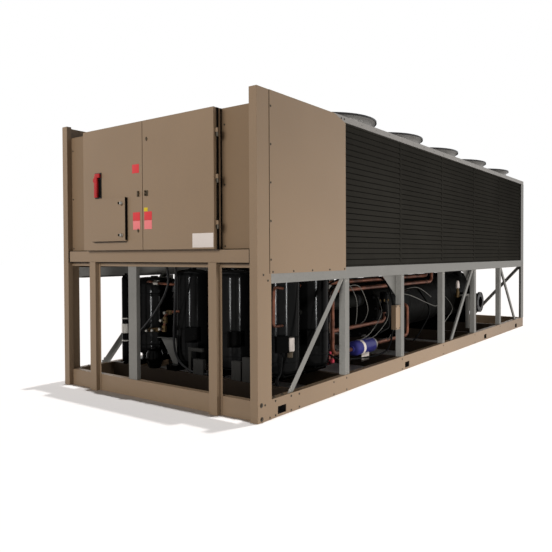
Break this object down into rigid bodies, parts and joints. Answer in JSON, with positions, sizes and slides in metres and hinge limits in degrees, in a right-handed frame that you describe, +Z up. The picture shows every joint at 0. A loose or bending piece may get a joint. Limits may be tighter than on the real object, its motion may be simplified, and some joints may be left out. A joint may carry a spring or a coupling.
{
  "type": "air cooled water chiller",
  "caption": "Packaged air cooled water chiller: long tan and galvanised frame, front control panel with hinged doors, louvred side coils, fans on top, open lower bays with compressors.",
  "frame": {"origin": "on the ground under the middle of the unit's box", "axes": "+Z up, the control panel faces -Y and +Y runs along the unit to its rear end, +X is the side with the outlet water flange"},
  "size_m": [2.242, 7.055, 2.446],
  "materials": {
    "tan_paint": "satin tan enamel on folded steel",
    "galvanised": "dull galvanised sheet",
    "dark_louvre": "dark charcoal coated louvres",
    "guard_wire": "black coated guard wire",
    "fan_black": "black moulded fan and painted motor",
    "black_shell": "black gloss enamel on welded shells",
    "insulation": "black foam insulation",
    "copper": "dulled copper tube",
    "blue_shell": "deep blue enamel",
    "black_plastic": "moulded black plastic",
    "red_plastic": "moulded red plastic",
    "zinc": "zinc plated fittings"
  },
  "bodies": {
    "root": {"side_rails": "tan_paint", "front_base_beam": "tan_paint", "rear_base_beam": "tan_paint", "cross_members": "tan_paint", "front_posts": "tan_paint", "front_legs": "tan_paint", "panel_beam": "tan_paint", "panel_sill": "tan_paint", "panel_rear_beam": "tan_paint", "centre_post": "galvanised", "infill_panels": "tan_paint", "side_panels": "tan_paint", "control_box": "tan_paint", "mounting_plate": "galvanised", "door_hinges": "tan_paint", "mid_rails": "galvanised", "rear_mid_rail": "galvanised", "side_posts": "galvanised", "rear_posts": "galvanised", "side_braces": "galvanised", "rear_braces": "galvanised", "gussets": "galvanised", "right_coil_panels": "dark_louvre", "left_coil_panels": "dark_louvre", "front_bulkhead": "galvanised", "rear_panel": "galvanised", "plenum_floor": "galvanised", "fan_deck": "galvanised", "fan_rings": "galvanised", "fan_guards": "guard_wire", "fan_rotors": "fan_black", "fan_motors": "fan_black", "motor_bars": "galvanised", "compressor_bearers": "black_shell", "compressors": "black_shell", "receiver": "black_shell", "accumulator": "black_shell", "conduits": "black_plastic", "evaporator": "insulation", "evaporator_saddles": "insulation", "water_nozzles": "insulation", "suction_pipes": "insulation", "copper_pipes": "copper", "filter_driers": "blue_shell", "junction_box": "tan_paint"},
    "left_door": {"left_door": "tan_paint", "left_door_latches": "zinc", "switch_plate": "black_plastic"},
    "right_door": {"right_door": "tan_paint", "right_door_latches": "zinc"},
    "access_flap": {"access_flap": "tan_paint"},
    "switch_lever": {"switch_lever": "red_plastic"}
  },
  "joints": [
    {"name": "left_door_hinge", "type": "hinge", "parent": "root", "child": "left_door", "pos_m": [-0.772, -3.4545, 1.719], "axis": [0, 0, -1], "range_deg": [0, 105]},
    {"name": "right_door_hinge", "type": "hinge", "parent": "root", "child": "right_door", "pos_m": [0.772, -3.4545, 1.719], "axis": [0, 0, 1], "range_deg": [0, 105]},
    {"name": "access_flap_hinge", "type": "hinge", "parent": "left_door", "child": "access_flap", "pos_m": [-0.618, -3.486, 1.4615], "axis": [0, 0, -1], "range_deg": [0, 90]},
    {"name": "switch_lever_turn", "type": "hinge", "parent": "left_door", "child": "switch_lever", "pos_m": [-0.57, -3.5275, 1.803], "axis": [0, 1, 0], "range_deg": [0, 90]}
  ]
}
